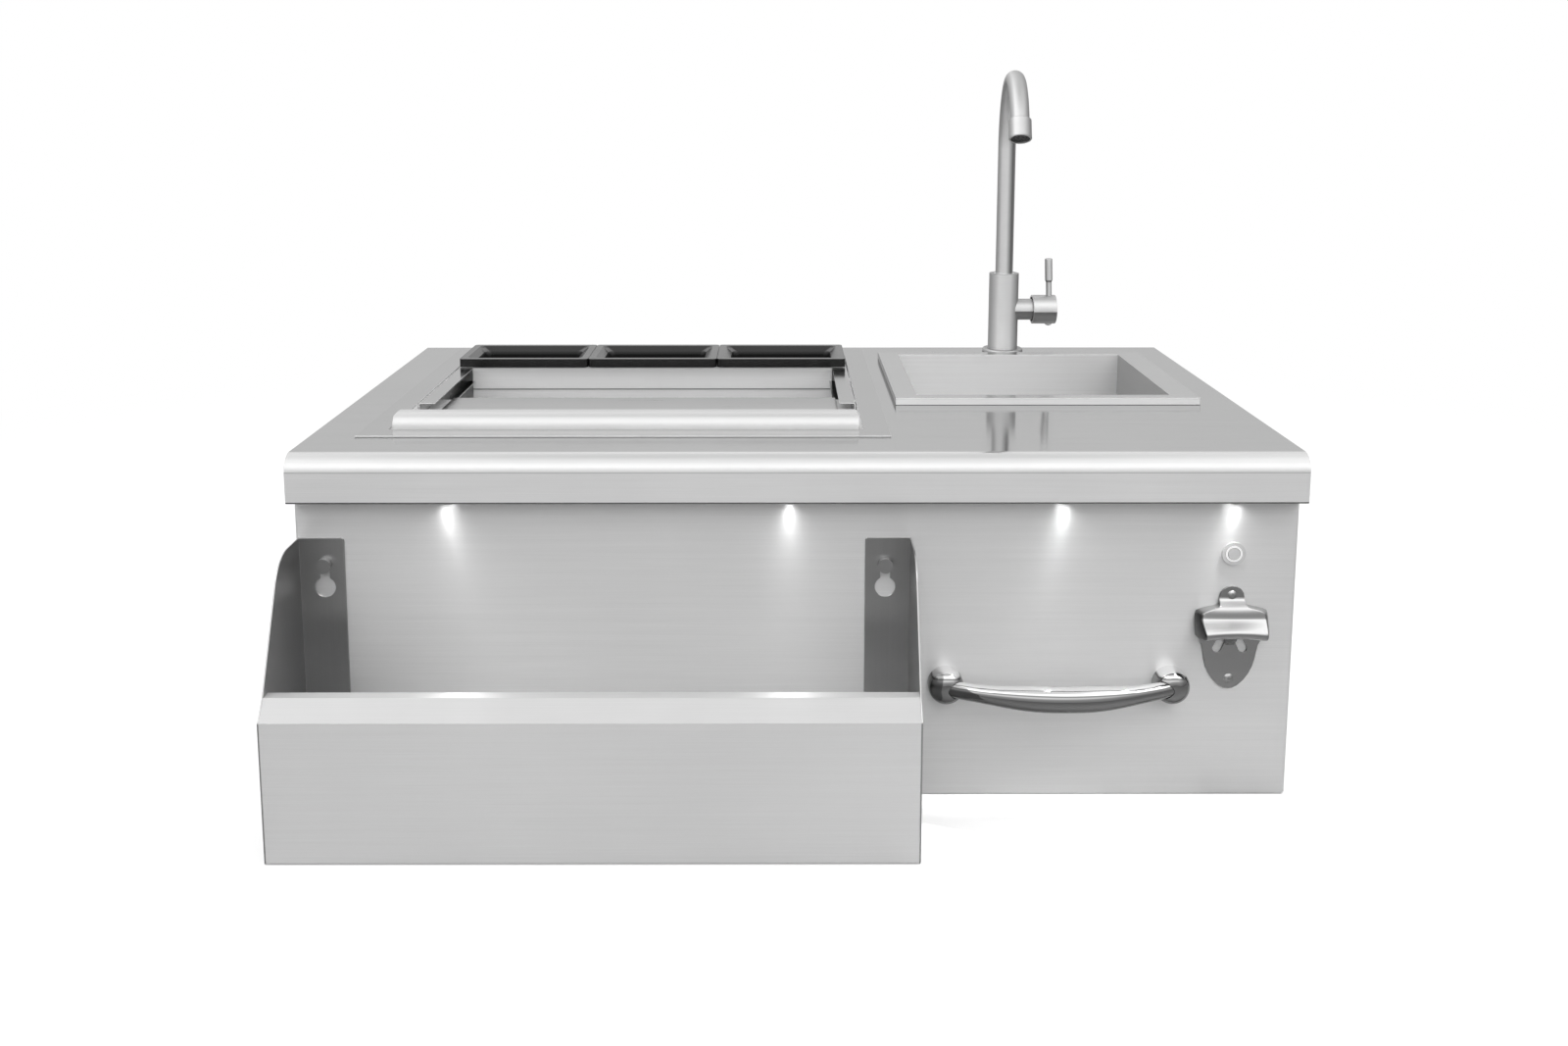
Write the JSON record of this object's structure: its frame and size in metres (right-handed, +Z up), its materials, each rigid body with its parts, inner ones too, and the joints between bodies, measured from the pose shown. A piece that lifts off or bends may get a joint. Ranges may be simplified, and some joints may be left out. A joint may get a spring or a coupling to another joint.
{
  "type": "bar sink with ice bin",
  "caption": "Stainless outdoor bar centre with a sliding-lid ice bin, condiment pans, small sink, gooseneck mixer, speed rail, towel bar and bottle opener",
  "frame": {"origin": "under the middle of the whole unit, on the surface it stands on", "axes": "+X to the right seen from the front, +Y to the back, +Z up"},
  "size_m": [1.067, 0.7288, 0.786],
  "materials": {
    "brushed_steel": "304 stainless sheet, fine horizontal brush",
    "plain_steel": "2B mill finish, inside sheets and fixings",
    "bright_steel": "polished stainless or chrome plate",
    "black_plastic": "moulded, glossy black",
    "grey_plastic": "moulded, matt grey",
    "white_plastic": "nylon and acetal, plain",
    "foam": "poured insulation foam, never seen",
    "black_rubber": "moulded gasket",
    "lens": "frosted lamp lens and light ring"
  },
  "bodies": {
    "cabinet": {"countertop": "brushed_steel", "front_panel": "brushed_steel", "left_side_panel": "brushed_steel", "right_side_panel": "brushed_steel", "back_panel": "brushed_steel", "base_tray": "plain_steel", "center_brace": "plain_steel", "bin_frame": "brushed_steel", "bin_liner": "brushed_steel", "bin_insulation": "foam", "bin_outer_shell": "plain_steel", "left_rail": "brushed_steel", "right_rail": "brushed_steel", "rail_screws": "bright_steel", "bin_drain_body": "grey_plastic", "bin_drain_nut": "grey_plastic", "sink_bowl": "brushed_steel", "waste_body": "bright_steel", "waste_gasket": "black_rubber", "waste_nut": "grey_plastic", "waste_tailpiece": "bright_steel", "mixer_base_ring": "bright_steel", "mixer_body": "bright_steel", "mixer_bush": "white_plastic", "valve_cartridge": "grey_plastic", "mixer_fixings": "plain_steel", "lamp_housings": "bright_steel", "lamp_lenses": "lens", "lamp_driver": "grey_plastic", "lamp_wiring": "black_rubber", "power_gland": "black_plastic", "switch_body": "bright_steel", "switch_ring": "lens", "switch_nut": "plain_steel", "opener_plate": "bright_steel", "opener_screws": "bright_steel", "towel_bar": "bright_steel", "towel_bar_posts": "bright_steel", "hook_studs": "bright_steel"},
    "spout": {"mixer_spout": "bright_steel", "mixer_outlet": "bright_steel", "aerator": "black_plastic"},
    "valve_turn": {"valve_trunnion": "plain_steel"},
    "valve_handle": {"valve_cap": "bright_steel", "valve_stem": "plain_steel", "valve_lever": "bright_steel", "cap_plug": "bright_steel"},
    "button": {"switch_button": "bright_steel"},
    "lid": {"lid_plate": "brushed_steel", "lid_handle": "brushed_steel", "lid_glides": "white_plastic"},
    "rack": {"condiment_rack": "brushed_steel"},
    "pan_1": {"condiment_pan_1": "black_plastic"},
    "pan_2": {"condiment_pan_2": "black_plastic"},
    "pan_3": {"condiment_pan_3": "black_plastic"},
    "basket": {"waste_basket": "bright_steel"},
    "bin_strainer": {"bin_drain_strainer": "bright_steel"},
    "speed_rail": {"speed_rail_trough": "brushed_steel", "speed_rail_left_end": "brushed_steel", "speed_rail_right_end": "brushed_steel"}
  },
  "joints": [
    {"name": "spout_swivel", "type": "hinge", "parent": "cabinet", "child": "spout", "pos_m": [0.30605, 0.3354, 0.535], "axis": [0, 0, 1], "continuous": true},
    {"name": "valve_temperature", "type": "hinge", "parent": "cabinet", "child": "valve_turn", "pos_m": [0.34405, 0.3354, 0.4462], "axis": [1, 0, 0], "range_deg": [-45, 45]},
    {"name": "valve_flow", "type": "hinge", "parent": "valve_turn", "child": "valve_handle", "pos_m": [0.35105, 0.3354, 0.4462], "axis": [0, 1, 0], "range_deg": [0, 12]},
    {"name": "switch_press", "type": "slide", "parent": "cabinet", "child": "button", "axis": [0, 1, 0], "range_m": [0, 0.002], "stiffness_N_per_m": 600},
    {"name": "lid_slide", "type": "slide", "parent": "cabinet", "child": "lid", "axis": [0, 1, 0], "range_m": [0, 0.1034]},
    {"name": "rack_lift", "type": "slide", "parent": "cabinet", "child": "rack", "axis": [0, 0, 1], "range_m": [0, 0.12]},
    {"name": "pan_1_lift", "type": "slide", "parent": "rack", "child": "pan_1", "axis": [0, 0, 1], "range_m": [0, 0.08]},
    {"name": "pan_2_lift", "type": "slide", "parent": "rack", "child": "pan_2", "axis": [0, 0, 1], "range_m": [0, 0.08]},
    {"name": "pan_3_lift", "type": "slide", "parent": "rack", "child": "pan_3", "axis": [0, 0, 1], "range_m": [0, 0.08]},
    {"name": "basket_lift", "type": "slide", "parent": "cabinet", "child": "basket", "axis": [0, 0, 1], "range_m": [0, 0.06]},
    {"name": "bin_strainer_lift", "type": "slide", "parent": "cabinet", "child": "bin_strainer", "axis": [0, 0, 1], "range_m": [0, 0.06]},
    {"name": "speed_rail_lift", "type": "slide", "parent": "cabinet", "child": "speed_rail", "axis": [0, 0, 1], "range_m": [0, 0.0248]}
  ]
}
